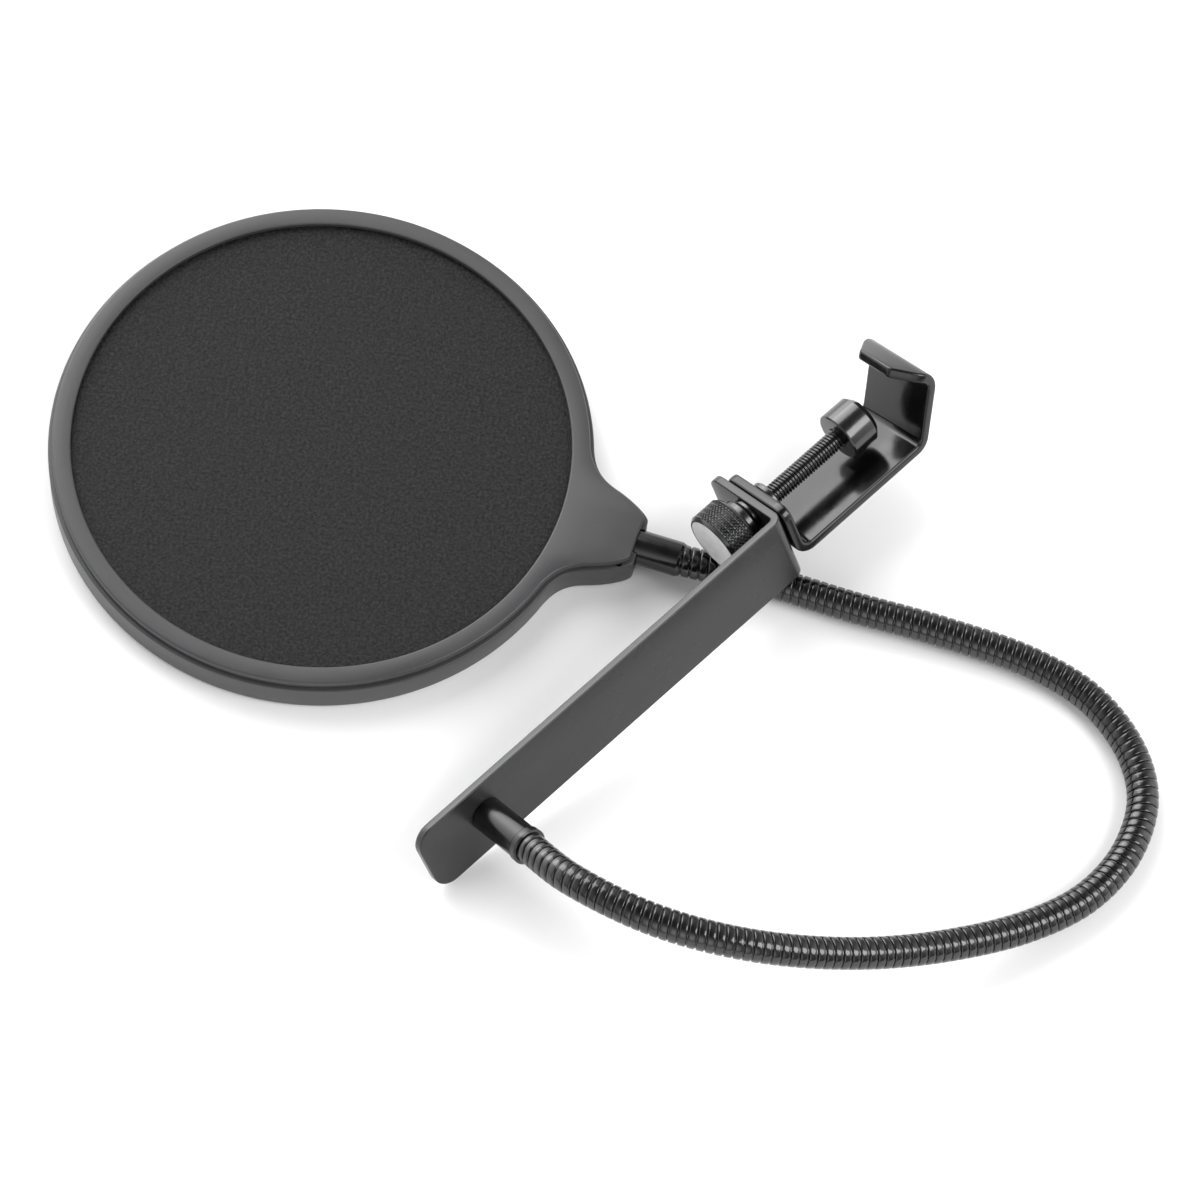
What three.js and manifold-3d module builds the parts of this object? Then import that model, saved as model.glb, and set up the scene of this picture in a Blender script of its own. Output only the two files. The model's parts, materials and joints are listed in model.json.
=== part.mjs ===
// Pop filter: a round double-mesh screen on a gooseneck, with a strip-steel arm and a V-jaw screw clamp.
// Millimetres, +Z up. The filter lies on a flat surface; X runs along its longest side.
import * as THREE from 'three';
import { mergeVertices } from 'three/addons/utils/BufferGeometryUtils.js';
import Module from 'manifold-3d';

const wasm = await Module();
wasm.setup();

// ---- driving dimensions ----
const CLEARANCE = 0.3;
// How far a cut runs past the face that it opens, and how far two welded solids run into each other
const PAST = 1;
const WELD = 0.5;

// Screen: two shells clamp a hoop and two stretched meshes. Z is measured from the rear face.
const OPENING_RADIUS = 71;
const WALL_RADIUS = 77.5;
const FACE_INSET = 1.2;
const WALL_THICKNESS = 1.6;
const FLOOR_THICKNESS = 1.8;
const REAR_SHELL_HEIGHT = 10;
const SCREEN_THICKNESS = 12.6;
const LIP_THICKNESS = 1.4;
const MESH_THICKNESS = 0.4;
const MESH_RADIUS = 74;
const HOOP_INNER_RADIUS = 71.5;
const SHELL_BEVEL = 1.1;
const FACE_BEVEL = 0.5;
const RIB_FROM = 5;
const ROUND_SEGMENTS = 60;
const OUTLINE_DIVISIONS = 7;

// Neck: the lobe of the shells that holds the gooseneck. X runs from the screen's centre out along the neck.
const FLARE_ANGLE = THREE.MathUtils.degToRad(18.5);
const NECK_END = 95;
const NECK_END_HALF_WIDTH = 6.8;
const NECK_SHOULDER = new THREE.Vector2(84, 13.6);
const SHOULDER_REACH = { flare: 7, before: new THREE.Vector2(-5.5, 1.9), after: new THREE.Vector2(5, -1.7) };
const END_ROUNDING = 1.6;
const NECK_POCKET = { from: 79.5, to: 92, halfWidth: 9.5, floor: 3 };
const NECK_SCREW_X = 85;
const NECK_SCREW = { radius: 1.45, headRadius: 2.8, headHeight: 1.2, headTop: 1.3, tip: 10.2 };
const BOSS_RADIUS = 3.2;
const BOSS_ABOVE_AXIS = 2;
const FERRULE_WAY_FROM = 88;

// Gooseneck
const HOSE_RADIUS = 4.5;
const HOSE_SIDES = 12;
const SPIGOT_RADIUS = 3.5;
const SPIGOT_LENGTH = 6;
const HINGE_COUNT = 8;
const HOSE_STEP = 9;

// Ferrules
const FERRULE_RADIUS = 5;
const FERRULE_BORE_RADIUS = 3.8;
const UPPER_FERRULE = {
  from: 88.5, to: 107.5, tongueFrom: 81.5, tongueHalfWidth: 3.2, tongueHalfHeight: 1.5,
};
const UPPER_AXIS_HEIGHT = 6.3;
const LOWER_FERRULE_LENGTH = 19;
const LOWER_COLLAR = { radius: 5.4, length: 2.4 };
const FERRULE_SCREW = { radius: 2, headRadius: 3.8, headHeight: 2.4, depth: 8 };
const WASHER = { radius: 4.4, thickness: 0.8 };
const SCREW_EDGE = 0.4;

// Arm: u runs along the strip to its bend, v across the strip, w along the flange.
const ARM_LENGTH = 139;
const ARM_WIDTH = 23;
const ARM_THICKNESS = 2.5;
const ARM_FLANGE_LENGTH = 31;
const ARM_BEND_RADIUS = 3.6;
const ARM_CORNER_RADIUS = 6;
const FLANGE_CORNER_RADIUS = 5;
const FERRULE_PLACE = { u: -117, v: 10.8 };

// Jaw: a wider strip bent in the u-v plane. Its corners are those of its outer face.
const JAW_THICKNESS = 3;
const JAW_FROM_W = 1;
const JAW_WIDTH = 25.6;
const JAW_OUTER_CORNERS = [[0.3, 0], [0.3, 19.6], [50.6, 19.6], [62.2, -1.4], [51.6, -9.4]];
const JAW_BEND_RADIUS = 3.6;
const LIP_TAPER = 6.4;
const JAW_FLANGE_CORNER_RADIUS = 4;

// Both strips
const BEND_STEPS = 4;
const CORNER_STEPS = 6;
const CUT_DEPTH = 8;

// Clamp screw: its axis runs along u.
const SCREW_V = 6.2;
const SCREW_W = 14.6;
const SPINDLE_RADIUS = 3;
const SPINDLE_FROM_U = -13;
const SPINDLE_TO_U = 38.6;
const KNOB = { radius: 10, from: -16.6, to: -7.2, hubRadius: 7, hubTo: -4.6, edge: 0.7 };
const PAD = {
  radius: 7.5, from: 32, to: 42, chamfer: 1.6, socketRadius: 4.6, socketFrom: 35, socketTo: 39.2,
};
const CLIP = { from: 36, to: 36.9, innerRadius: 2.5, outerRadius: 4.1 };
const GROOVE = { from: 35.6, to: 37.3, radius: 2.1 };
const BUSH = { bore: 3.3, radius: 4.1, hole: 4.4, collar: 5.6 };
const BUSH_COLLARS = { lowerFrom: -4.1, lowerTo: -2.8, upperFrom: 3.6, upperTo: 5.4 };

// Pose of the two rigid ends on the surface
const SCREEN_PLACE = new THREE.Vector3(-84, 32.7, 0);
const NECK_HEADING = THREE.MathUtils.degToRad(-10.4);
const ARM_PLACE = new THREE.Vector3(47.7, 16, 33.9);
const ARM_HEADING = THREE.MathUtils.degToRad(50);
const ARM_CLIMB = THREE.MathUtils.degToRad(5.15);
const ARM_LEAN = THREE.MathUtils.degToRad(-115.2);

// Points that the gooseneck's axis passes through, from the lower ferrule to the upper one
const HOSE_POINTS = [
  [1.5, -97.5, 28.5], [25, -107, 30.5], [51, -109.5, 27.5], [79, -105, 19.5], [105, -96, 11.5],
  [128.5, -84.5, 6.3], [143.8, -73, 4.8], [153.5, -58.5, 4.7], [156.8, -42, 4.7], [152.5, -27.7, 4.7],
  [140.5, -13.5, 4.7], [123.5, -4.7, 4.7], [97, 1.6, 4.7], [71, 5.7, 4.7], [48, 10, 4.8],
];

// ---- colours ----
const FINISHES = {
  shell: { color: 0x3d3e40, roughness: 0.62, metalness: 0 },
  mesh: { color: 0x1f1f21, roughness: 0.9, metalness: 0 },
  paint: { color: 0x29292b, roughness: 0.5, metalness: 0.2 },
  gloss: { color: 0x141415, roughness: 0.25, metalness: 0.5 },
  hose: { color: 0x121213, roughness: 0.3, metalness: 0.6 },
  steel: { color: 0x8c8f93, roughness: 0.4, metalness: 1 },
};

// ---- solids ----
function toSolid(geometry) {
  const bare = geometry.clone();
  bare.deleteAttribute('normal');
  bare.deleteAttribute('uv');
  const merged = mergeVertices(bare, 1e-4);
  const corners = merged.index.array;
  const triangles = [];
  for (let i = 0; i < corners.length; i += 3) {
    const [a, b, c] = corners.slice(i, i + 3);
    if (a !== b && b !== c && c !== a) {
      triangles.push(a, b, c);
    }
  }
  return new wasm.Manifold(new wasm.Mesh({
    numProp: 3,
    vertProperties: new Float32Array(merged.attributes.position.array),
    triVerts: new Uint32Array(triangles),
  }));
}

function toGeometry(solid) {
  const { vertProperties, triVerts } = solid.getMesh();
  const geometry = new THREE.BufferGeometry();
  geometry.setAttribute('position', new THREE.BufferAttribute(vertProperties, 3));
  geometry.setIndex(new THREE.BufferAttribute(triVerts, 1));
  geometry.computeVertexNormals();
  return geometry;
}

function carve(body, cuts) {
  return cuts.reduce((solid, cut) => solid.subtract(toSolid(cut)), toSolid(body));
}

// A turned solid about Z. The profile's [radius, height] pairs run upward on the outside.
function turned(profile, segments = 24) {
  const points = profile.map(([radius, height]) => new THREE.Vector2(radius, height));
  return new THREE.LatheGeometry(points, segments).rotateX(Math.PI / 2);
}

function rod(radius, from, to, segments = 24) {
  return turned([[0, from], [radius, from], [radius, to], [0, to]], segments);
}

function ring(inner, outer, from, to, segments = 24) {
  return turned([[inner, from], [outer, from], [outer, to], [inner, to], [inner, from]], segments);
}

function block(sizes, centre) {
  return new THREE.BoxGeometry(...sizes).translate(...centre);
}

function alongX(geometry) {
  return geometry.rotateY(Math.PI / 2);
}

function extruded(shape, from, to, bevel = 0) {
  const geometry = new THREE.ExtrudeGeometry(shape, {
    depth: to - from - 2 * bevel,
    bevelEnabled: bevel > 0,
    bevelThickness: bevel,
    bevelSize: bevel,
    bevelOffset: -bevel,
    bevelSegments: 1,
    curveSegments: ROUND_SEGMENTS / 2,
  });
  return geometry.translate(0, 0, from + bevel);
}

function named(name, geometry, finish) {
  const mesh = new THREE.Mesh(geometry, new THREE.MeshStandardMaterial(FINISHES[finish]));
  mesh.name = name;
  return mesh;
}

// ---- screen ----
// The shells' outline: a circle that flares into the neck. inset moves it inward.
function lobeShape(inset) {
  const radius = WALL_RADIUS - inset;
  const start = new THREE.Vector2(radius, 0).rotateAround(new THREE.Vector2(), FLARE_ANGLE);
  const along = new THREE.Vector2(Math.sin(FLARE_ANGLE), -Math.cos(FLARE_ANGLE));
  const leave = start.clone().addScaledVector(along, SHOULDER_REACH.flare);
  const shoulder = NECK_SHOULDER.clone().sub(new THREE.Vector2(0, inset));
  const into = shoulder.clone().add(SHOULDER_REACH.before);
  const onward = shoulder.clone().add(SHOULDER_REACH.after);
  const end = new THREE.Vector2(NECK_END - inset, NECK_END_HALF_WIDTH - inset / 2);
  const corner = new THREE.Vector2(end.x, end.y + END_ROUNDING);
  const shape = new THREE.Shape();
  const sweep = (2 * Math.PI - 2 * FLARE_ANGLE) / 4;
  for (let quarter = 0; quarter < 4; quarter += 1) {
    shape.absarc(0, 0, radius, FLARE_ANGLE + quarter * sweep, FLARE_ANGLE + (quarter + 1) * sweep, false);
  }
  shape.bezierCurveTo(leave.x, -leave.y, into.x, -into.y, shoulder.x, -shoulder.y);
  shape.bezierCurveTo(onward.x, -onward.y, corner.x, -corner.y, end.x, -end.y);
  shape.lineTo(end.x, end.y);
  shape.bezierCurveTo(corner.x, corner.y, onward.x, onward.y, shoulder.x, shoulder.y);
  shape.bezierCurveTo(into.x, into.y, leave.x, leave.y, start.x, start.y);
  const outline = shape.getPoints(OUTLINE_DIVISIONS);
  outline.pop();
  return new THREE.Shape(outline);
}

const MESH_TOP = SCREEN_THICKNESS - LIP_THICKNESS - CLEARANCE;
const PARTING = REAR_SHELL_HEIGHT + CLEARANCE;

function neckPocket(from, to) {
  const length = NECK_POCKET.to - NECK_POCKET.from;
  const centre = [NECK_POCKET.from + length / 2, 0, (from + to) / 2];
  return block([length, 2 * NECK_POCKET.halfWidth, to - from], centre);
}

function ferruleWay() {
  const way = alongX(rod(FERRULE_RADIUS + CLEARANCE, FERRULE_WAY_FROM, NECK_END + PAST));
  return way.translate(0, 0, UPPER_AXIS_HEIGHT);
}

function neckScrewHole(radius, from, to) {
  return rod(radius + CLEARANCE, from, to).translate(NECK_SCREW_X, 0, 0);
}

function rearShell() {
  return carve(extruded(lobeShape(0), 0, REAR_SHELL_HEIGHT, SHELL_BEVEL), [
    rod(OPENING_RADIUS, -PAST, SCREEN_THICKNESS, ROUND_SEGMENTS),
    rod(WALL_RADIUS - WALL_THICKNESS, FLOOR_THICKNESS, SCREEN_THICKNESS, ROUND_SEGMENTS),
    neckPocket(NECK_POCKET.floor, SCREEN_THICKNESS),
    ferruleWay(),
    neckScrewHole(NECK_SCREW.radius, -PAST, NECK_POCKET.floor + PAST),
    neckScrewHole(NECK_SCREW.headRadius, -PAST, NECK_SCREW.headTop + CLEARANCE),
  ]);
}

function frontShell() {
  const ribOuter = WALL_RADIUS - WALL_THICKNESS - CLEARANCE;
  const rib = ring(MESH_RADIUS + 2 * CLEARANCE, ribOuter, RIB_FROM, PARTING + WELD, ROUND_SEGMENTS);
  const boss = rod(BOSS_RADIUS, UPPER_AXIS_HEIGHT + BOSS_ABOVE_AXIS, PARTING + WELD);
  boss.translate(NECK_SCREW_X, 0, 0);
  const body = toSolid(extruded(lobeShape(FACE_INSET), PARTING, SCREEN_THICKNESS, FACE_BEVEL));
  const whole = body.add(toSolid(rib)).add(toSolid(boss));
  const cuts = [
    rod(OPENING_RADIUS, 0, SCREEN_THICKNESS + PAST, ROUND_SEGMENTS),
    rod(MESH_RADIUS + CLEARANCE, 0, SCREEN_THICKNESS - LIP_THICKNESS, ROUND_SEGMENTS),
    neckScrewHole(NECK_SCREW.radius, 0, NECK_SCREW.tip + CLEARANCE),
    ferruleWay(),
  ];
  return cuts.reduce((solid, cut) => solid.subtract(toSolid(cut)), whole);
}

function upperFerrule() {
  const { from, to, tongueFrom, tongueHalfWidth, tongueHalfHeight } = UPPER_FERRULE;
  const tube = toSolid(alongX(rod(FERRULE_RADIUS, from, to)));
  const tongueLength = from + WELD - tongueFrom;
  const tongueSizes = [tongueLength, 2 * tongueHalfWidth, 2 * tongueHalfHeight];
  const tongue = block(tongueSizes, [tongueFrom + tongueLength / 2, 0, 0]);
  const bore = alongX(rod(FERRULE_BORE_RADIUS, to - SPIGOT_LENGTH - PAST, to + PAST));
  const screwHole = neckScrewHole(NECK_SCREW.radius, -FERRULE_RADIUS, FERRULE_RADIUS);
  return tube.add(toSolid(tongue)).subtract(toSolid(bore)).subtract(toSolid(screwHole));
}

// A screw along +Z with its head below from.
function screw({ radius, headRadius, headHeight }, from, to) {
  const base = from - headHeight;
  return turned([[0, base], [headRadius - SCREW_EDGE, base], [headRadius, base + SCREW_EDGE],
    [headRadius, from], [radius, from], [radius, to], [0, to]], 16);
}

function buildScreen() {
  const screen = new THREE.Group();
  const rearMeshFrom = FLOOR_THICKNESS + CLEARANCE;
  const rearMeshTo = rearMeshFrom + MESH_THICKNESS;
  const frontMeshFrom = MESH_TOP - MESH_THICKNESS;
  const hoopFrom = rearMeshTo + CLEARANCE;
  const hoopTo = frontMeshFrom - CLEARANCE;
  const hoop = ring(HOOP_INNER_RADIUS, MESH_RADIUS, hoopFrom, hoopTo, ROUND_SEGMENTS);
  const ferrule = named('upper_ferrule', toGeometry(upperFerrule()), 'gloss');
  ferrule.position.z = UPPER_AXIS_HEIGHT;
  const neckScrew = named('neck_screw', screw(NECK_SCREW, NECK_SCREW.headTop, NECK_SCREW.tip), 'steel');
  neckScrew.position.x = NECK_SCREW_X;
  screen.add(
    named('rear_shell', toGeometry(rearShell()), 'shell'),
    named('front_shell', toGeometry(frontShell()), 'shell'),
    named('mesh_hoop', hoop, 'shell'),
    named('front_mesh', rod(MESH_RADIUS, frontMeshFrom, MESH_TOP, ROUND_SEGMENTS), 'mesh'),
    named('rear_mesh', rod(MESH_RADIUS, rearMeshFrom, rearMeshTo, ROUND_SEGMENTS), 'mesh'),
    ferrule,
    neckScrew,
  );
  screen.position.copy(SCREEN_PLACE);
  screen.rotation.z = NECK_HEADING;
  return screen;
}

// ---- bent strips ----
// The outline of a strip whose outer face passes through the corners, with the strip to that path's left.
function stripShape(corners, thickness, outerRadius) {
  const points = corners.map((pair) => new THREE.Vector2(...pair));
  const near = [];
  const far = [];
  const lay = (point, normal) => {
    near.push(point.clone());
    far.push(point.clone().addScaledVector(normal, thickness));
  };
  const leftOf = (direction) => new THREE.Vector2(-direction.y, direction.x);
  points.forEach((point, index) => {
    const before = index > 0 ? point.clone().sub(points[index - 1]).normalize() : null;
    const after = index < points.length - 1 ? points[index + 1].clone().sub(point).normalize() : null;
    if (!before || !after) {
      lay(point, leftOf(before ?? after));
      return;
    }
    const turn = before.angleTo(after) * Math.sign(before.cross(after));
    const reach = outerRadius * Math.tan(turn / 2);
    const centre = point.clone().addScaledVector(before, -reach).addScaledVector(leftOf(before), outerRadius);
    for (let step = 0; step <= BEND_STEPS; step += 1) {
      const spoke = leftOf(before).negate().rotateAround(new THREE.Vector2(), (turn * step) / BEND_STEPS);
      lay(centre.clone().addScaledVector(spoke, outerRadius), spoke.clone().negate());
    }
  });
  return new THREE.Shape([...near, ...far.reverse()]);
}

// What rounding a square corner takes away. The corner is at the origin and the sheet lies toward +X, +Y.
function cornerCut(radius) {
  const shape = new THREE.Shape();
  shape.moveTo(-PAST, -PAST);
  shape.lineTo(radius, -PAST);
  shape.lineTo(radius, 0);
  shape.absarc(radius, radius, radius, -Math.PI / 2, -Math.PI, true);
  shape.lineTo(-PAST, radius);
  const options = { depth: 2 * CUT_DEPTH, bevelEnabled: false, curveSegments: CORNER_STEPS };
  return new THREE.ExtrudeGeometry(shape, options).translate(0, 0, -CUT_DEPTH);
}

// The hole that the bush sits in, through either flange.
function bushHole() {
  return alongX(rod(BUSH.hole, -CUT_DEPTH, CUT_DEPTH)).translate(0, SCREW_V, SCREW_W);
}

// ---- arm ----
function armBracket() {
  const corners = [[-ARM_LENGTH, 0], [0, 0], [0, ARM_FLANGE_LENGTH]];
  const profile = stripShape(corners, ARM_THICKNESS, ARM_BEND_RADIUS);
  const strip = new THREE.ExtrudeGeometry(profile, { depth: ARM_WIDTH, bevelEnabled: false });
  strip.rotateX(Math.PI / 2).translate(0, ARM_WIDTH, 0);
  const endCut = () => cornerCut(ARM_CORNER_RADIUS);
  const flangeCut = () => cornerCut(FLANGE_CORNER_RADIUS);
  const { u, v } = FERRULE_PLACE;
  return carve(strip, [
    endCut().translate(-ARM_LENGTH, 0, 0),
    endCut().rotateX(Math.PI).translate(-ARM_LENGTH, ARM_WIDTH, 0),
    flangeCut().rotateY(Math.PI / 2).translate(0, 0, ARM_FLANGE_LENGTH),
    flangeCut().rotateX(Math.PI).rotateY(Math.PI / 2).translate(0, ARM_WIDTH, ARM_FLANGE_LENGTH),
    bushHole(),
    rod(FERRULE_SCREW.radius + CLEARANCE, -PAST, ARM_THICKNESS + PAST).translate(u, v, 0),
  ]);
}

// The lower ferrule and its screw stand on the front of the arm. Their own +Z points away from it.
function lowerFerruleStack() {
  const stack = new THREE.Group();
  const tip = CLEARANCE + LOWER_FERRULE_LENGTH;
  const collarFrom = tip - LOWER_COLLAR.length;
  const boreFloor = tip - SPIGOT_LENGTH - PAST;
  const screwWay = FERRULE_SCREW.radius + CLEARANCE;
  const ferrule = turned([
    [0, FERRULE_SCREW.depth + PAST], [screwWay, FERRULE_SCREW.depth + PAST], [screwWay, CLEARANCE],
    [FERRULE_RADIUS, CLEARANCE], [FERRULE_RADIUS, collarFrom], [LOWER_COLLAR.radius, collarFrom],
    [LOWER_COLLAR.radius, tip], [FERRULE_BORE_RADIUS, tip], [FERRULE_BORE_RADIUS, boreFloor], [0, boreFloor],
  ]);
  const washerTop = -ARM_THICKNESS - CLEARANCE;
  const washerBase = washerTop - WASHER.thickness;
  stack.add(
    named('lower_ferrule', ferrule, 'gloss'),
    named('lock_washer', ring(screwWay, WASHER.radius, washerBase, washerTop), 'steel'),
    named('ferrule_screw', screw(FERRULE_SCREW, washerBase - CLEARANCE, FERRULE_SCREW.depth), 'steel'),
  );
  stack.position.set(FERRULE_PLACE.u, FERRULE_PLACE.v, 0);
  stack.rotation.x = Math.PI;
  return stack;
}

// ---- clamp ----
// A wedge beside the tapered lip. side is 1 at the low-w edge and -1 at the high-w edge.
function lipCut(side) {
  const [apex, tip] = JAW_OUTER_CORNERS.slice(-2).map(([u, v]) => new THREE.Vector3(u, v, 0));
  const along = tip.clone().sub(apex);
  const length = along.length();
  along.normalize();
  const inward = new THREE.Vector3(0, 0, side);
  const through = along.clone().cross(inward);
  const slope = LIP_TAPER / (length - JAW_BEND_RADIUS);
  const wedge = new THREE.Shape([
    new THREE.Vector2(JAW_BEND_RADIUS, -PAST), new THREE.Vector2(length + PAST, -PAST),
    new THREE.Vector2(length + PAST, LIP_TAPER + PAST * slope), new THREE.Vector2(JAW_BEND_RADIUS, 0),
  ]);
  const edge = side > 0 ? JAW_FROM_W : JAW_FROM_W + JAW_WIDTH;
  const place = new THREE.Matrix4().makeBasis(along, inward, through).setPosition(apex.x, apex.y, edge);
  const cut = new THREE.ExtrudeGeometry(wedge, { depth: 2 * CUT_DEPTH, bevelEnabled: false });
  return cut.translate(0, 0, -CUT_DEPTH).applyMatrix4(place);
}

function jawBracket() {
  const profile = stripShape([...JAW_OUTER_CORNERS].reverse(), JAW_THICKNESS, JAW_BEND_RADIUS);
  const strip = new THREE.ExtrudeGeometry(profile, { depth: JAW_WIDTH, bevelEnabled: false });
  strip.translate(0, 0, JAW_FROM_W);
  const flangeCut = () => cornerCut(JAW_FLANGE_CORNER_RADIUS);
  return carve(strip, [
    lipCut(1),
    lipCut(-1),
    flangeCut().rotateY(Math.PI / 2).translate(0, 0, JAW_FROM_W + JAW_WIDTH),
    flangeCut().rotateY(Math.PI / 2).rotateX(Math.PI / 2).translate(0, 0, JAW_FROM_W),
    bushHole(),
  ]);
}

// The pieces on the clamp screw's axis, drawn along +Z and then turned to point along u.
function screwStack() {
  const stack = new THREE.Group();
  const { bore, radius, collar } = BUSH;
  const { lowerFrom, lowerTo, upperFrom, upperTo } = BUSH_COLLARS;
  const bush = turned([[bore, lowerFrom], [collar, lowerFrom], [collar, lowerTo], [radius, lowerTo],
    [radius, upperFrom], [collar, upperFrom], [collar, upperTo], [bore, upperTo], [bore, lowerFrom]]);
  const spindle = turned([[0, SPINDLE_FROM_U], [SPINDLE_RADIUS, SPINDLE_FROM_U],
    [SPINDLE_RADIUS, GROOVE.from], [GROOVE.radius, GROOVE.from], [GROOVE.radius, GROOVE.to],
    [SPINDLE_RADIUS, GROOVE.to], [SPINDLE_RADIUS, SPINDLE_TO_U], [0, SPINDLE_TO_U]]);
  const socketFloor = SPINDLE_FROM_U - CLEARANCE;
  const socketWall = SPINDLE_RADIUS + CLEARANCE;
  const knob = turned([[0, KNOB.from], [KNOB.radius - KNOB.edge, KNOB.from],
    [KNOB.radius, KNOB.from + KNOB.edge], [KNOB.radius, KNOB.to - KNOB.edge],
    [KNOB.radius - KNOB.edge, KNOB.to], [KNOB.hubRadius, KNOB.to], [KNOB.hubRadius, KNOB.hubTo],
    [socketWall, KNOB.hubTo], [socketWall, socketFloor], [0, socketFloor]]);
  const pad = turned([[socketWall, PAD.from], [PAD.radius, PAD.from], [PAD.radius, PAD.to - PAD.chamfer],
    [PAD.radius - PAD.chamfer, PAD.to], [0, PAD.to], [0, PAD.socketTo], [PAD.socketRadius, PAD.socketTo],
    [PAD.socketRadius, PAD.socketFrom], [socketWall, PAD.socketFrom], [socketWall, PAD.from]]);
  stack.add(
    named('threaded_bush', bush, 'gloss'),
    named('clamp_spindle', spindle, 'gloss'),
    named('thumb_knob', knob, 'gloss'),
    named('pressure_pad', pad, 'gloss'),
    named('retaining_clip', ring(CLIP.innerRadius, CLIP.outerRadius, CLIP.from, CLIP.to, 20), 'steel'),
  );
  stack.position.set(0, SCREW_V, SCREW_W);
  stack.rotation.y = Math.PI / 2;
  return stack;
}

function buildBracket() {
  const bracket = new THREE.Group();
  bracket.add(
    named('arm_bracket', toGeometry(armBracket()), 'paint'),
    named('jaw_bracket', toGeometry(jawBracket()), 'gloss'),
    lowerFerruleStack(),
    screwStack(),
  );
  bracket.position.copy(ARM_PLACE);
  bracket.rotation.set(ARM_LEAN, -ARM_CLIMB, ARM_HEADING, 'ZYX');
  return bracket;
}

// ---- gooseneck ----
// A stretch of another curve, between two lengths along it.
class Stretch extends THREE.Curve {
  constructor(whole, from, to) {
    super();
    Object.assign(this, { whole, from: from / whole.getLength(), to: to / whole.getLength() });
  }

  getPoint(t, target = new THREE.Vector3()) {
    return this.whole.getPointAt(THREE.MathUtils.lerp(this.from, this.to, t), target);
  }
}

// The axis of the gooseneck, from inside the lower ferrule to inside the upper one.
function hoseCurve(screen, bracket) {
  screen.updateMatrixWorld(true);
  bracket.updateMatrixWorld(true);
  const { u, v } = FERRULE_PLACE;
  const onBracket = (w) => new THREE.Vector3(u, v, w).applyMatrix4(bracket.matrixWorld);
  const onScreen = (x) => new THREE.Vector3(x, 0, UPPER_AXIS_HEIGHT).applyMatrix4(screen.matrixWorld);
  const lowerTip = -CLEARANCE - LOWER_FERRULE_LENGTH;
  return new THREE.CatmullRomCurve3([
    onBracket(lowerTip + SPIGOT_LENGTH),
    onBracket(lowerTip),
    ...HOSE_POINTS.map((point) => new THREE.Vector3(...point)),
    onScreen(UPPER_FERRULE.to),
    onScreen(UPPER_FERRULE.to - SPIGOT_LENGTH),
  ]);
}

function hosePiece(whole, radius, from, to) {
  const section = new THREE.Shape();
  section.absarc(0, 0, radius, 0, 2 * Math.PI, false);
  return toSolid(new THREE.ExtrudeGeometry(section, {
    steps: Math.max(1, Math.round((to - from) / HOSE_STEP)),
    extrudePath: new Stretch(whole, from, to),
    curveSegments: HOSE_SIDES / 2,
  }));
}

// Link 1 stands in the lower ferrule and the last link in the upper one. Each later link starts with a ball.
function buildGooseneck(screen, bracket) {
  const gooseneck = new THREE.Group();
  const whole = hoseCurve(screen, bracket);
  const length = whole.getLength();
  const first = SPIGOT_LENGTH + CLEARANCE;
  const last = length - SPIGOT_LENGTH - CLEARANCE;
  const pitch = (last - first) / (HINGE_COUNT + 1);
  for (let link = 0; link <= HINGE_COUNT; link += 1) {
    const from = first + link * pitch;
    const to = link < HINGE_COUNT ? from + pitch - HOSE_RADIUS - CLEARANCE : last;
    let solid = hosePiece(whole, HOSE_RADIUS, from, to);
    if (link > 0) {
      const ball = new THREE.SphereGeometry(HOSE_RADIUS, HOSE_SIDES, HOSE_SIDES / 2);
      const { x, y, z } = whole.getPointAt(from / length);
      solid = solid.add(toSolid(ball.translate(x, y, z)));
    }
    if (link === 0) {
      solid = solid.add(hosePiece(whole, SPIGOT_RADIUS, CLEARANCE, from + 1));
    }
    if (link === HINGE_COUNT) {
      solid = solid.add(hosePiece(whole, SPIGOT_RADIUS, to - 1, length - CLEARANCE));
    }
    gooseneck.add(named(`gooseneck_${link + 1}`, toGeometry(solid), 'hose'));
  }
  return gooseneck;
}

// ---- assembly ----
const assembly = new THREE.Group();
const screen = buildScreen();
const bracket = buildBracket();
assembly.add(screen, bracket, buildGooseneck(screen, bracket));

// The origin is the middle of the underside of the whole object's box.
const bounds = new THREE.Box3().setFromObject(assembly, true);
const middle = bounds.getCenter(new THREE.Vector3());
assembly.position.set(-middle.x, -middle.y, -bounds.min.z);

const popFilter = new THREE.Group();
popFilter.add(assembly);
export default popFilter;
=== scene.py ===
import json
import math

import bmesh
import bpy
import numpy as np
from mathutils import Matrix, Vector

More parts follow.
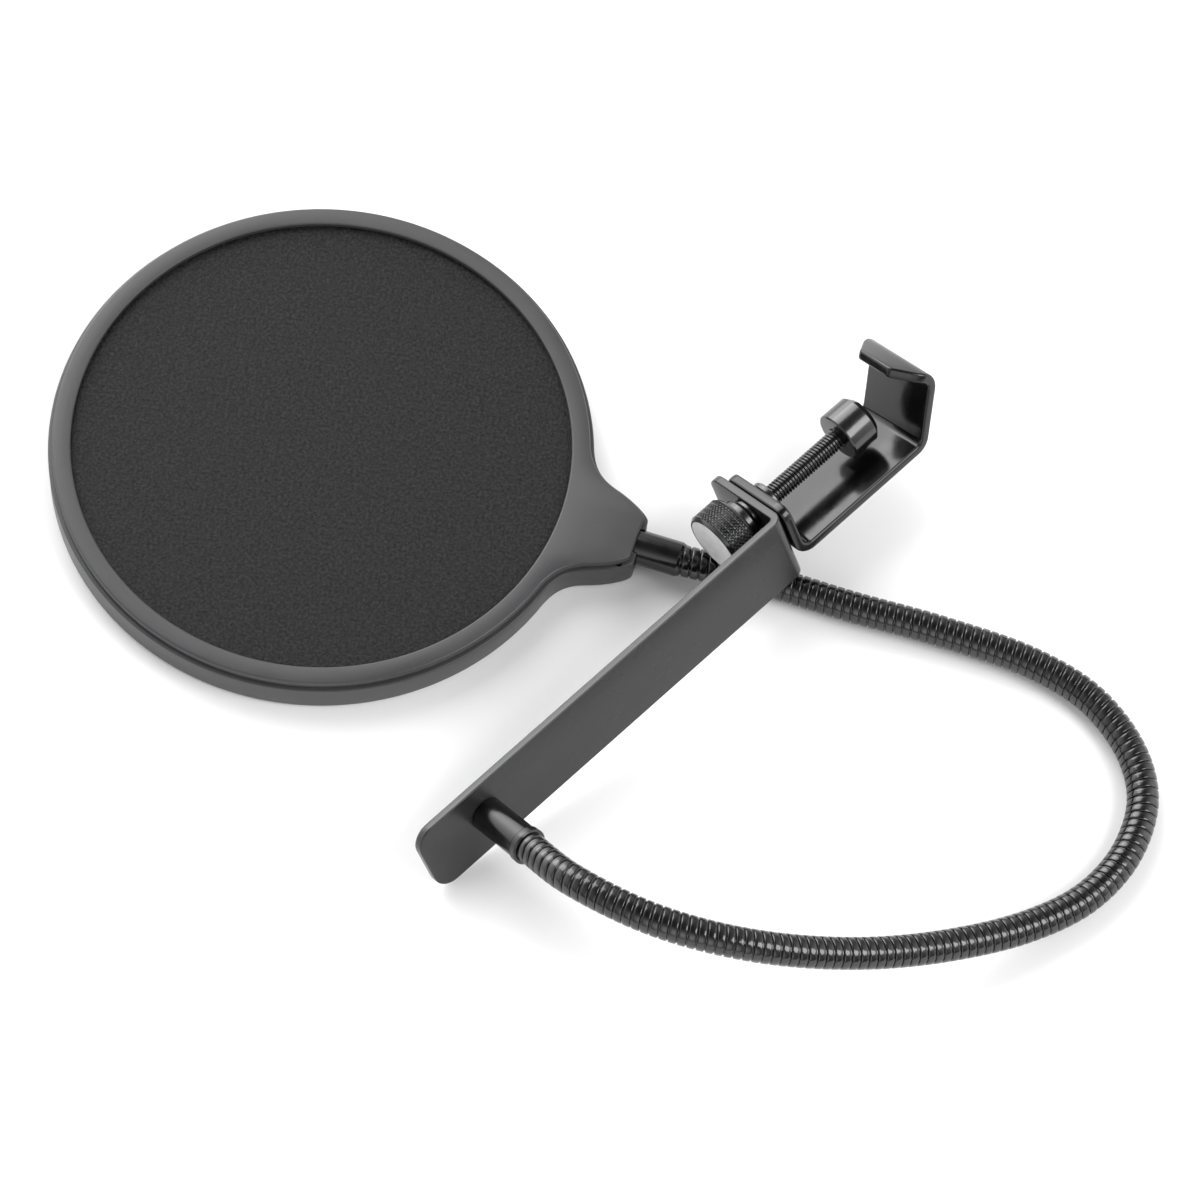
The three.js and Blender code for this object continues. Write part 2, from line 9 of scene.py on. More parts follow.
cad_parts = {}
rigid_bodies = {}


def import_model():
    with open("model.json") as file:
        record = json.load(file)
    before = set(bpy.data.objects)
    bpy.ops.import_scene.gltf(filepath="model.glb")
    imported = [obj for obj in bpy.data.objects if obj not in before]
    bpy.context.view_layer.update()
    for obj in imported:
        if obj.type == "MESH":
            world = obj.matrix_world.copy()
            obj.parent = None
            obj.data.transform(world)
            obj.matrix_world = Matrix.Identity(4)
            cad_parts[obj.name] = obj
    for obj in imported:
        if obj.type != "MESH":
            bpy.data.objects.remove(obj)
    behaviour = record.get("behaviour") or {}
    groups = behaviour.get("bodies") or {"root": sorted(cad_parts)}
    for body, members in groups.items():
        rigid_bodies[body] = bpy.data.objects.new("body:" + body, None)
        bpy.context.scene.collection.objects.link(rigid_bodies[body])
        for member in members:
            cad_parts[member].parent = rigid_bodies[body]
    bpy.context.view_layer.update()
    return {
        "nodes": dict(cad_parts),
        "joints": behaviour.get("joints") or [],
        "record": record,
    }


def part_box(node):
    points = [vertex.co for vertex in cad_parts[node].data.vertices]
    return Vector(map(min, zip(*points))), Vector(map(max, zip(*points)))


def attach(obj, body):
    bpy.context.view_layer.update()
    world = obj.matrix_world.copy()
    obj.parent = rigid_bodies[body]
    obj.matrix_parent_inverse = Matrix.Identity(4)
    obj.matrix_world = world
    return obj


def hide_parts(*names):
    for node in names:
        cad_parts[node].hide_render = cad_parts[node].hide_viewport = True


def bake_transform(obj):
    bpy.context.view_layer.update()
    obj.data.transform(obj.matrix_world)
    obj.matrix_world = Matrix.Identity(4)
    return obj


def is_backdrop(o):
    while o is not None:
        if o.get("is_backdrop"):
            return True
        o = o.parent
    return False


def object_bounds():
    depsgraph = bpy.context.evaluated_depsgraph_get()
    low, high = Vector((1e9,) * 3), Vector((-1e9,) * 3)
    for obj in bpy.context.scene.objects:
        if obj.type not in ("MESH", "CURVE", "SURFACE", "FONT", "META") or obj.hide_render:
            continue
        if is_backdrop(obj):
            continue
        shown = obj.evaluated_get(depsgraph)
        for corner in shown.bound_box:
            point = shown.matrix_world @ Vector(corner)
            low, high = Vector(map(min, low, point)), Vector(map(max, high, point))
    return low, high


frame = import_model()

# Pop filter: the looks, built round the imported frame, in the frame of the CAD model. Lengths are in metres,
# mostly written with MM. The profiles of turned and lofted pieces, the cutters and the values that these are
# made from are in millimetres.
MM = 0.001

# ---- mesh quality ----
SHARP_ANGLE = 38
MERGE_DISTANCE = 1e-7
ROUNDING_STEPS = 4

# ---- camera and room ----
CAMERA_ELEVATION = math.radians(63.9)
CAMERA_ROLL = math.radians(7.36)
CAMERA_DISTANCE = 1.3
CAMERA_LENS = 137.8
CAMERA_SENSOR = 36.0
CAMERA_REACH = 20
FLOOR_SIZE = 7.0
FLOOR_GAP = 0.2 * MM
FLOOR_ALBEDO = 0.93
FLOOR_ALBEDO_SPREAD = 0.01
# The studio's glow: (direction, tightness, radiance), over a dim all-round level
GLOWS = [
    ((-0.56, 0.80, 0.32), 7.0, 4.4),
    ((-0.95, 0.05, 0.30), 4.0, 1.5),
    ((0.95, 0.25, 0.30), 4.0, 1.9),
    ((0.00, -0.90, 0.44), 10.0, 2.0),
]
GLOW_BASE = 0.09
# name: (direction from the origin, distance, width, radiance)
SOFTBOXES = {
    "softbox_left": ((-0.42, 0.56, 0.71), 1.45, 0.95, 3.3),
    "softbox_right": ((0.61, -0.20, 0.76), 1.6, 0.80, 6.2),
}

# ---- screen, as in the CAD model ----
OPENING_RADIUS = 71.0 * MM
WALL_RADIUS = 77.5 * MM
WALL_THICKNESS = 1.6 * MM
FLOOR_THICKNESS = 1.8 * MM
REAR_HEIGHT = 10.0 * MM
PARTING = 10.3 * MM
FACE_HEIGHT = 12.6 * MM
FACE_INSET = 1.2 * MM
LIP_UNDERSIDE = 11.2 * MM
# The front shell's pocket for the mesh and its hidden rim, both outward from the mesh's edge
POCKET_CLEARANCE = 0.3
RIM_INNER, RIM_OUTER, RIM_LOW = 0.6, 1.6, 5
MESH_RADIUS = 74.0 * MM
MESH_CROWN = 0.06 * MM
MESH_RINGS, MESH_SIDES = 40, 180
FLARE_ANGLE = math.radians(18.5)
FLARE_LEAD = 7 * MM
NECK_END = 95.0 * MM
NECK_END_HALF_WIDTH = 6.8 * MM
NECK_END_LEAD = 1.6 * MM
NECK_SHOULDER = (84.0 * MM, 13.6 * MM)
SHOULDER_LEADS = Vector((-5.5, 1.9)) * MM, Vector((5.0, -1.7)) * MM
ARC_STEPS, FLARE_STEPS, NECK_STEPS = 240, 28, 20
NECK_END_SHARES = (-0.6, -0.2, 0.2, 0.6)
NECK_AXIS_HEIGHT = 6.3 * MM
NECK_SCREW_X = 85.0 * MM
TONGUE_POCKET = (79.5, -9.5, 3), (92, 9.5, REAR_HEIGHT / MM + 1)
FERRULE_WAY_RADIUS = 5.35
FERRULE_WAY = (88, 97)
UPPER_FERRULE_TIP = 107.5

# ---- clamp and arm, as in the CAD model ----
SCREW_V = 6.2 * MM
SCREW_W = 14.6 * MM
ARM_LENGTH = 139.0 * MM
ARM_WIDTH = 23.0 * MM
ARM_THICKNESS = 2.5 * MM
ARM_FLANGE_LENGTH = 31.0 * MM
ARM_CORNER_RADIUS = 6.0 * MM
FLANGE_CORNER_RADIUS = 5.0 * MM
ARM_EDGE_RADIUS = 0.4 * MM
ARM_BEND_RADIUS = 3.6 * MM
FERRULE_PLACE = (-117.0 * MM, 10.8 * MM)
FERRULE_SCREW_RADIUS = 2.3
BUSH_RADIUS = 4.4
JAW_THICKNESS = 3.0 * MM
JAW_FROM_W = 1.0 * MM
JAW_WIDTH = 25.6 * MM
# The outline of the jaw's outer side, in millimetres, from the arm's flange to the tip of the lip
JAW_CORNERS = [(0.3, 0.0), (0.3, 19.6), (50.6, 19.6), (62.2, -1.4), (51.6, -9.4)]
JAW_CORNER_RADIUS = 4.0 * MM
LIP_CORNER_RADIUS = 1.6 * MM
JAW_EDGE_RADIUS = 0.8 * MM
JAW_BEND_RADIUS = 5.8 * MM
LIP_TAPER = 6.4 * MM
STRIP_SPACING = 2.0 * MM
BEND_STEPS = 14
CORNER_STEPS, EDGE_STEPS = 12, 4
STRIP_SHARP_ANGLE = 42
WASHER_THICKNESS = 0.8
WASHER_GAP = math.radians(11)
WASHER_STEPS, WASHER_TWIST = 80, 0.05

# ---- clamp screw ----
THREAD_PITCH = 1.0 * MM
THREAD_RADIUS = 3.0 * MM
THREAD_SIDES = 36
THREAD_SHARP_ANGLE = 30
THREAD_FROM, THREAD_TO = -13.0 * MM, 38.6 * MM
# (share of the pitch, depth below the crest) across one turn of the thread
THREAD_PROFILE = [(0.0, 0.0), (0.12, 0.0), (0.48, 0.58 * MM), (0.64, 0.58 * MM)]
KNOB_RADIUS = 10.0
KNOB_SHARP_ANGLE = 40
KNOB_FROM, KNOB_TO = -16.6, -7.2
KNOB_FACE_DEPTH = 0.15
KNURLS, KNOB_SIDES, KNURL_ROWS = 50, 400, 52
KNURL_DEPTH, KNURL_MARGIN, KNURL_FADE, KNURL_CROWN = 0.5, 1.0, 0.3, 1.3

# ---- gooseneck ----
HOSE_RADIUS = 4.5 * MM
HOSE_PITCH = 2.5 * MM
HOSE_SIDES = 32
# (share of the pitch, depth below the crest) across one turn of the interlocked strip
HOSE_PROFILE = [
    (0.00, 0.50 * MM), (0.08, 0.50 * MM), (0.12, 0.24 * MM), (0.16, 0.08 * MM), (0.23, 0.01 * MM),
    (0.40, 0.0), (0.64, 0.0), (0.84, 0.01 * MM), (0.91, 0.08 * MM), (0.95, 0.24 * MM),
]
HOSE_BEND_REACH = 15.0 * MM
HOSE_START = 1.0 * MM
HOSE_SHARP_ANGLE = 60
# Points on the gooseneck's axis, in millimetres, when the screen's centre is at SCREEN_AT
SCREEN_AT = Vector((-84.0, 32.7, 0.0)) * MM
HOSE_POINTS = [
    (1.5, -97.5, 28.5), (25, -107, 30.5), (51, -109.5, 27.5), (79, -105, 19.5), (105, -96, 11.5),
    (128.5, -84.5, 6.3), (143.8, -73, 4.8), (153.5, -58.5, 4.7), (156.8, -42, 4.7), (152.5, -27.7, 4.7),
    (140.5, -13.5, 4.7), (123.5, -4.7, 4.7), (97, 1.6, 4.7), (71, 5.7, 4.7), (48, 10, 4.8),
]
FERRULE_LENGTH = 19.0 * MM
SPIGOT_LENGTH = 6.0 * MM
CLEARANCE = 0.3 * MM

# ---- places from the frame ----
JOINTS = {joint["name"]: joint for joint in frame["joints"]}
MOUNTS = {mount["name"]: mount for mount in frame["record"]["mounts"]}
SCREEN_BODY, ARM_BODY, CLAMP_BODY, SPINDLE_BODY, PAD_BODY = "screen", "arm", "clamp", "spindle", "pad"


def clamp_matrix():
    """The clamp's own axes: u along its screw, v across the arm's strip, w along the flanges."""
    u = Vector(JOINTS["arm_swivel"]["axis"]).normalized()
    w = Vector(MOUNTS["lip_seat"]["axis"]).cross(Vector(MOUNTS["leg_seat"]["axis"])).normalized()
    v = w.cross(u)
    origin = Vector(JOINTS["arm_swivel"]["pos_m"]) - v * SCREW_V - w * SCREW_W
    return Matrix.Translation(origin) @ Matrix((u, v, w)).transposed().to_4x4()


def screen_matrix():
    """The screen's own axes: origin at its centre on the floor, x out along the neck, z up."""
    low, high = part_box("front_mesh")
    ferrule_low, ferrule_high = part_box("upper_ferrule")
    centre = (low + high) / 2
    out = (ferrule_low + ferrule_high) / 2 - centre
    return Matrix.Translation((centre.x, centre.y, 0)) @ Matrix.Rotation(math.atan2(out.y, out.x), 4, "Z")


CLAMP = clamp_matrix()
SCREEN = screen_matrix()


# ---- mesh helpers ----
def piece(name, vertices, faces, material, sharp=SHARP_ANGLE):
    """A new mesh object with smooth shading, and hard edges where faces meet at more than sharp degrees."""
    mesh = bpy.data.meshes.new(name)
    mesh.from_pydata([tuple(v) for v in vertices], [], faces)
    mesh.materials.append(material)
    obj = bpy.data.objects.new(name, mesh)
    bpy.context.scene.collection.objects.link(obj)
    tidy_mesh(mesh, sharp)
    return obj


def tidy_mesh(mesh, sharp):
    """Welds the mesh, turns its faces outward and sets its hard edges."""
    work = bmesh.new()
    work.from_mesh(mesh)
    bmesh.ops.remove_doubles(work, verts=work.verts, dist=MERGE_DISTANCE)
    bmesh.ops.recalc_face_normals(work, faces=work.faces)
    work.to_mesh(mesh)
    work.free()
    mesh.shade_smooth()
    mesh.set_sharp_from_angle(angle=math.radians(sharp))


def loft(loops, closed=False, caps=True):
    """Faces between loops that have the same number of points. closed joins the last loop to the first."""
    count = len(loops[0])
    vertices = [point for loop in loops for point in loop]
    faces = []
    spans = len(loops) if closed else len(loops) - 1
    for i in range(spans):
        a, b = i * count, ((i + 1) % len(loops)) * count
        for j in range(count):
            k = (j + 1) % count
            faces.append((a + j, a + k, b + k, b + j))
    if caps and not closed:
        faces.append(tuple(reversed(range(count))))
        faces.append(tuple(range((len(loops) - 1) * count, len(loops) * count)))
    return vertices, faces


def ring(radius, height, sides):
    """Points evenly round a circle about z."""
    return [(radius * math.cos(t), radius * math.sin(t), height)
            for t in np.linspace(0, 2 * math.pi, sides, endpoint=False)]


def rounded(points):
    """A path whose corners are rounded. points are (x, y, radius); the two ends stay as they are."""
    path = []
    for i, (x, y, radius) in enumerate(points):
        if i in (0, len(points) - 1) or radius == 0:
            path.append((x, y))
            continue
        corner = Vector((x, y))
        before = (Vector(points[i - 1][:2]) - corner).normalized()
        after = (Vector(points[i + 1][:2]) - corner).normalized()
        half = before.angle(after) / 2
        reach = radius / math.tan(half)
        centre = corner + (before + after).normalized() * (radius / math.sin(half))
        first = corner + before * reach - centre
        turn = math.pi - 2 * half
        if before.x * after.y - before.y * after.x > 0:
            turn = -turn
        for step in range(ROUNDING_STEPS + 1):
            angle = turn * step / ROUNDING_STEPS
            spoke = Vector((first.x * math.cos(angle) - first.y * math.sin(angle),
                            first.x * math.sin(angle) + first.y * math.cos(angle)))
            path.append(tuple(centre + spoke))
    return path


def lathe(name, profile, matrix, material, segments=96):
    """A turned piece about matrix's z. profile is (radius, height, rounding) in millimetres, from axis to
    axis, or closed where it starts away from the axis."""
    loops = [[matrix @ Vector(p) for p in ring(radius * MM, height * MM, segments)]
             for radius, height in rounded(profile)]
    vertices, faces = loft(loops, closed=profile[0][0] > 0, caps=False)
    return piece(name, vertices, faces, material)


def cut(obj, *cutters, sharp=SHARP_ANGLE):
    """Takes the cutters out of obj, and removes them."""
    for cutter in cutters:
        change = obj.modifiers.new("cut", "BOOLEAN")
        change.operation = "DIFFERENCE"
        change.solver = "EXACT"
        change.object = cutter
    depsgraph = bpy.context.evaluated_depsgraph_get()
    result = bpy.data.meshes.new_from_object(obj.evaluated_get(depsgraph))
    obj.modifiers.clear()
    obj.data = result
    tidy_mesh(result, sharp)
    for cutter in cutters:
        bpy.data.objects.remove(cutter)


def rod(radius, low, high, matrix):
    """A plain round cutter, in millimetres."""
    profile = [(0, low, 0), (radius, low, 0), (radius, high, 0), (0, high, 0)]
    return lathe("cutter", profile, matrix, None, 48)


def slab(low, high, matrix):
    """A plain square cutter, in millimetres."""
    corners = [(low[0], low[1]), (high[0], low[1]), (high[0], high[1]), (low[0], high[1])]
    loops = [[matrix @ (Vector((x, y, z)) * MM) for x, y in corners] for z in (low[2], high[2])]
    vertices, faces = loft(loops)
    return piece("cutter", vertices, faces, None)


def wound(profile, pitch, radius, place, turns, sides):
    """A helical surface. profile is (share of pitch, depth) across a turn, and place(s, angle, r) gives a
    point. Returns rows of points, each row once round the axis and one pitch along it."""
    rows = []
    for turn in range(turns):
        for share, depth in profile:
            row = []
            for side in range(sides):
                along = (turn + share + side / sides) * pitch
                row.append(place(along, 2 * math.pi * side / sides, radius - depth))
            rows.append(row)
    return rows


def wound_faces(rows, per_turn, first, last, caps=False):
    """The faces between two rows of a helical surface, where a row's end meets the row one turn on."""
    sides = len(rows[0])
    used = range(first, last + 1 + per_turn)
    vertices = [point for i in used for point in rows[i]]

    def at(i, side):
        return (i - first + (per_turn if side == sides else 0)) * sides + side % sides

    faces = []
    for i in range(first, last):
        faces += [(at(i, s), at(i, s + 1), at(i + 1, s + 1), at(i + 1, s)) for s in range(sides)]
    if caps:
        for i in (first, last):
            faces.append([at(i, s) for s in range(sides)] + [at(i + k, 0) for k in range(per_turn, 0, -1)])
    return vertices, faces


def finish_piece(obj, body, slot, *nodes):
    """The piece rides on body and stands for the CAD nodes. slot is not used."""
    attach(obj, body)
    if nodes:
        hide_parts(*nodes)


# ---- materials ----
# Where nearly all the values of a noise lie
NOISE_RANGE = (0.3, 0.7)
WEAR_RANGE = (0.35, 0.65)


def math_node(nodes, links, operation, a, b):
    """The value of a Math node whose two inputs are numbers or sockets."""
    node = nodes.new("ShaderNodeMath")
    node.operation = operation
    for socket, value in zip(node.inputs, (a, b)):
        if isinstance(value, (int, float)):
            socket.default_value = value
        else:
            links.new(value, socket)
    return node.outputs["Value"]


class Finish:
    """A Principled material whose colour, roughness and bump come from procedural textures."""

    def __init__(self, name, roughness, metallic=0.0, specular=0.5, sheen=0.0):
        self.material = bpy.data.materials.new(name)
        self.material.use_nodes = True
        self.nodes = self.material.node_tree.nodes
        self.links = self.material.node_tree.links
        self.shader = self.nodes["Principled BSDF"]
        values = {"Roughness": roughness, "Metallic": metallic, "Specular IOR Level": specular,
                  "Sheen Weight": sheen}
        for socket, value in values.items():
            self.shader.inputs[socket].default_value = value
        self.place = self.nodes.new("ShaderNodeTexCoord").outputs["Object"]
        self.height = None

    def noise(self, size, detail=3.0, roughness=0.55):
        """Noise whose largest blobs are about size metres across."""
        node = self.nodes.new("ShaderNodeTexNoise")
        node.inputs["Scale"].default_value = 1 / size
        node.inputs["Detail"].default_value = detail
        node.inputs["Roughness"].default_value = roughness
        self.links.new(self.place, node.inputs["Vector"])
        return node.outputs["Fac"]

    def cells(self, size, randomness):
        """Distance from the middle of each cell, in cells about size metres across."""
        node = self.nodes.new("ShaderNodeTexVoronoi")
        node.inputs["Scale"].default_value = 1 / size
        node.inputs["Randomness"].default_value = randomness
        self.links.new(self.place, node.inputs["Vector"])
        return node.outputs["Distance"]

    def spread(self, source, low, high, to_low=0.0, to_high=1.0):
        """source, stretched from low..high to to_low..to_high and held there."""
        node = self.nodes.new("ShaderNodeMapRange")
        limits = {"From Min": low, "From Max": high, "To Min": to_low, "To Max": to_high}
        for socket, value in limits.items():
            node.inputs[socket].default_value = value
        self.links.new(source, node.inputs["Value"])
        return node.outputs["Result"]

    def colour(self, source, dark, light):
        """Base colour from dark to light as source goes from 0 to 1."""
        node = self.nodes.new("ShaderNodeMix")
        node.data_type = "RGBA"
        node.inputs["A"].default_value = (*dark, 1)
        node.inputs["B"].default_value = (*light, 1)
        self.links.new(source, node.inputs["Factor"])
        self.links.new(node.outputs["Result"], self.shader.inputs["Base Color"])

    def rough(self, source, low, high):
        """Roughness from low to high as source goes through a noise's usual range."""
        self.links.new(self.spread(source, *NOISE_RANGE, low, high), self.shader.inputs["Roughness"])

    def bump(self, source, depth, strength=1.0):
        """A raised surface, depth metres high, on top of any bump there is."""
        node = self.nodes.new("ShaderNodeBump")
        node.inputs["Strength"].default_value = strength
        node.inputs["Distance"].default_value = depth
        self.links.new(source, node.inputs["Height"])
        if self.height is not None:
            self.links.new(self.height, node.inputs["Normal"])
        self.height = node.outputs["Normal"]
        self.links.new(self.height, self.shader.inputs["Normal"])
        return self


def grey(value, tint=0.045):
    """A grey that leans slightly towards blue."""
    return (value, value, value * (1 + tint))


def satin(name, dark, light, roughness, grain_size, cloud_size, cloud_detail, grain_roughness):
    """A satin surface: cloudy in colour and gloss, with the grain that its bump will be made from."""
    finish = Finish(name, roughness)
    grain = finish.noise(grain_size, 3, grain_roughness)
    cloud = finish.noise(cloud_size, cloud_detail)
    finish.colour(finish.spread(cloud, *NOISE_RANGE), grey(dark), grey(light))
    finish.rough(cloud, roughness - 0.04, roughness + 0.05)
    return finish, grain


def moulded_plastic(name, dark, light, roughness):
    """Plastic with the fine grain of its mould."""
    finish, grain = satin(name, dark, light, roughness, 0.4 * MM, 18 * MM, 2, 0.7)
    return finish.bump(grain, depth=0.06 * MM, strength=0.7).material


def powder_coat(name, dark, light, roughness):
    """Satin paint with the fine orange peel of a powder coat."""
    finish, peel = satin(name, dark, light, roughness, 0.5 * MM, 22 * MM, 3, 0.65)
    return finish.bump(peel, depth=0.035 * MM, strength=0.5).material


def knitted_mesh(name):
    """Fine black nylon knit: small open cells between slightly glossy yarns."""
    finish = Finish(name, 0.5, specular=0.2, sheen=0.02)
    finish.shader.inputs["Sheen Roughness"].default_value = 0.4
    holes = finish.cells(0.55 * MM, randomness=0.35)
    fuzz = finish.noise(0.9 * MM, detail=2, roughness=0.7)
    yarn = finish.spread(holes, 0.18, 0.5)
    tuft = finish.spread(fuzz, 0.36, 0.66)
    shade = math_node(finish.nodes, finish.links, "MULTIPLY", yarn, tuft)
    finish.colour(shade, grey(0.001), grey(0.024))
    finish.rough(fuzz, 0.46, 0.6)
    finish.bump(tuft, depth=0.1 * MM, strength=0.6)
    return finish.bump(yarn, depth=0.12 * MM, strength=0.7).material


def gloss_black(name, dark, light, roughness, ior, ripple=0.02 * MM):
    """Black plating or enamel: deep, with a faint ripple and slight wear in the gloss."""
    finish = Finish(name, roughness)
    finish.shader.inputs["IOR"].default_value = ior
    ripples = finish.noise(2.2 * MM, detail=3)
    wear = finish.noise(6 * MM, detail=4, roughness=0.65)
    finish.colour(finish.spread(wear, *WEAR_RANGE), grey(dark), grey(light))
    finish.rough(wear, roughness - 0.03, roughness + 0.07)
    return finish.bump(ripples, depth=ripple, strength=0.5).material


def bare_metal_painted_reflection(name):
    """Bare metal, faced off on a lathe and slightly dulled, with a pale colour that is partly a painted
    reflection of the white floor.
    """
    finish = Finish(name, 0.5, metallic=0.35)
    wear = finish.noise(2.5 * MM, detail=3, roughness=0.6)
    # Painted reflection: the pale grey stands in for the white floor mirrored in the face, on top of the
    # metal's own tone.
    finish.colour(finish.spread(wear, *NOISE_RANGE), (0.80, 0.80, 0.81), (0.88, 0.88, 0.89))
    finish.rough(wear, 0.42, 0.55)
    return finish.bump(finish.noise(0.35 * MM, detail=2), depth=0.02 * MM, strength=0.4).material


def zinc_plate(name):
    """Bright zinc, mottled by wear."""
    finish = Finish(name, 0.32, metallic=1.0)
    wear = finish.noise(1.6 * MM, detail=4, roughness=0.7)
    finish.colour(finish.spread(wear, *NOISE_RANGE), (0.42, 0.43, 0.45), (0.62, 0.63, 0.64))
    finish.rough(wear, 0.25, 0.42)
    return finish.bump(wear, depth=0.01 * MM, strength=0.4).material


SHELL = moulded_plastic("shell_plastic", 0.038, 0.045, 0.37)
HOOP = moulded_plastic("hoop_plastic", 0.025, 0.032, 0.55)
KNIT = knitted_mesh("knitted_mesh")
ARM_PAINT = powder_coat("arm_powder_coat", 0.016, 0.021, 0.25)
JAW_PAINT = gloss_black("jaw_enamel", 0.002, 0.004, 0.15, ior=1.5)
PLATING = gloss_black("black_plating", 0.002, 0.004, 0.16, ior=1.55)
PAD_PLATING = gloss_black("pad_plating", 0.003, 0.006, 0.17, ior=1.7)
OXIDE = gloss_black("black_oxide", 0.004, 0.008, 0.2, ior=1.7)
HOSE_METAL = gloss_black("hose_plating", 0.002, 0.004, 0.13, ior=1.65, ripple=0.01 * MM)
ZINC = zinc_plate("zinc_plate")
BARE_METAL_PAINTED_REFLECTION = bare_metal_painted_reflection("bare_metal_painted_reflection")


# ---- screen ----
def bezier(start, first, second, end, steps):
    """Points along a cubic curve, without its end."""
    points = []
    for i in range(steps):
        t = i / steps
        near = start * (1 - t) ** 3 + 3 * first * t * (1 - t) ** 2
        points.append(near + 3 * second * t * t * (1 - t) + end * t ** 3)
    return points


def lobe(inset):
    """The shells' outline, moved inward by inset: a circle that flares into the neck."""
    radius = WALL_RADIUS - inset
    start = Vector((math.cos(FLARE_ANGLE), math.sin(FLARE_ANGLE))) * radius
    leave = start + Vector((math.sin(FLARE_ANGLE), -math.cos(FLARE_ANGLE))) * FLARE_LEAD
    shoulder = Vector((NECK_SHOULDER[0], NECK_SHOULDER[1] - inset))
    into, onward = (shoulder + lead for lead in SHOULDER_LEADS)
    end = Vector((NECK_END - inset, NECK_END_HALF_WIDTH - inset / 2))
    corner = Vector((end.x, end.y + NECK_END_LEAD))
    arc = [Vector((math.cos(t), math.sin(t))) * radius
           for t in np.linspace(FLARE_ANGLE, 2 * math.pi - FLARE_ANGLE, ARC_STEPS, endpoint=False)]
    side = bezier(start, leave, into, shoulder, FLARE_STEPS)
    side += bezier(shoulder, onward, corner, end, NECK_STEPS)
    side.append(end)
    across = [Vector((end.x, end.y * share)) for share in NECK_END_SHARES]
    below = [Vector((p.x, -p.y)) for p in side]
    return arc + below + across + list(reversed(side))[:-1]


def shell_loops(profile):
    """Loops of a shell. profile is (kind, size, height): kind o follows the outline, moved inward by size,
    and c is a circle with the radius size."""
    directions = [p.normalized() for p in lobe(0)]
    loops = []
    for kind, size, height in profile:
        points = lobe(size * MM) if kind == "o" else [d * size * MM for d in directions]
        loops.append([SCREEN @ Vector((p.x, p.y, height * MM)) for p in points])
    return loops


def edge(kind, size, height, radius, size_sign, height_sign, rising):
    """A rounded edge of a shell's profile. rising goes from the full height to the full size."""
    made = []
    for i in range(ROUNDING_STEPS + 1):
        angle = math.pi / 2 * i / ROUNDING_STEPS
        along, up = (math.sin(angle), math.cos(angle)) if rising else (math.cos(angle), math.sin(angle))
        inward, across = radius * (1 - along), radius * (1 - up)
        made.append((kind, size + size_sign * inward, height + height_sign * across))
    return made


def neck_axis():
    """Out along the ferrule's axis, from the screen's centre."""
    return SCREEN @ Matrix.Translation((0, 0, NECK_AXIS_HEIGHT)) @ Matrix.Rotation(math.pi / 2, 4, "Y")


def neck_screw_place(height=0.0):
    """z points to the front, along the neck screw."""
    return SCREEN @ Matrix.Translation((NECK_SCREW_X, 0, height))


def rear_housing():
    """The rear shell: a tray round the opening, with a pocket for the ferrule and a sunk screw hole."""
    rear, inner, opening = REAR_HEIGHT / MM, (WALL_RADIUS - WALL_THICKNESS) / MM, OPENING_RADIUS / MM
    floor = FLOOR_THICKNESS / MM
    profile = [
        *edge("o", 0, 0, 1.2, 1, 1, True),
        *edge("o", 0, rear, 0.45, 1, -1, False),
        ("c", inner, rear), ("c", inner, floor),
        *edge("c", opening, floor, 0.3, 1, -1, False)[::-1],
        *edge("c", opening, 0, 0.3, 1, 1, False),
    ]
    vertices, faces = loft(shell_loops(profile), closed=True)
    shell = piece("rear_housing", vertices, faces, SHELL)
    pocket = slab(*TONGUE_POCKET, SCREEN)
    way = rod(FERRULE_WAY_RADIUS, *FERRULE_WAY, neck_axis())
    screw_way = rod(1.75, -1, 4, neck_screw_place())
    recess = lathe("cutter", [(0, -1, 0), (3.6, -1, 0), (3.1, 0.35, 0), (3.1, 1.6, 0), (0, 1.6, 0)],
                   neck_screw_place(), None)
    cut(shell, pocket, way, screw_way, recess)
    finish_piece(shell, SCREEN_BODY, "shell_plastic", "rear_shell")


def front_housing():
    """The front shell: a face ring with a lip over the mesh and a rim that reaches into the rear shell."""
    face, inset, opening = FACE_HEIGHT / MM, FACE_INSET / MM, OPENING_RADIUS / MM
    lip, parting, mesh = LIP_UNDERSIDE / MM, PARTING / MM, MESH_RADIUS / MM
    pocket, inner, outer = mesh + POCKET_CLEARANCE, mesh + RIM_INNER, mesh + RIM_OUTER
    profile = [
        ("o", inset, parting),
        *edge("o", inset, face, 0.7, 1, -1, False),
        *edge("c", opening, face, 0.45, 1, -1, False)[::-1],
        ("c", opening, lip), ("c", pocket, lip), ("c", pocket, parting), ("c", inner, parting),
        ("c", inner, RIM_LOW), ("c", outer, RIM_LOW), ("c", outer, parting),
    ]
    vertices, faces = loft(shell_loops(profile), closed=True)
    shell = piece("front_housing", vertices, faces, SHELL)
    cut(shell, rod(FERRULE_WAY_RADIUS, *FERRULE_WAY, neck_axis()))
    finish_piece(shell, SCREEN_BODY, "shell_plastic", "front_shell")


def fabric(name, node):
    """A disc of knitted mesh, stretched over the hoop, with the slight crown that its tension leaves."""
    low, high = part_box(node)
    height = (low.z + high.z) / 2
    loops = []
    for step in range(1, MESH_RINGS + 1):
        share = step / MESH_RINGS
        rise = MESH_CROWN * (1 - share ** 2)
        loops.append([SCREEN @ Vector(p) for p in ring(MESH_RADIUS * share, height + rise, MESH_SIDES)])
    vertices, faces = loft(loops, caps=False)
    vertices.append(SCREEN @ Vector((0, 0, height + MESH_CROWN)))
    centre = len(vertices) - 1
    faces += [(centre, j, (j + 1) % MESH_SIDES) for j in range(MESH_SIDES)]
    sheet = piece(name, vertices, faces, KNIT)
    finish_piece(sheet, SCREEN_BODY, "mesh_fabric", node)


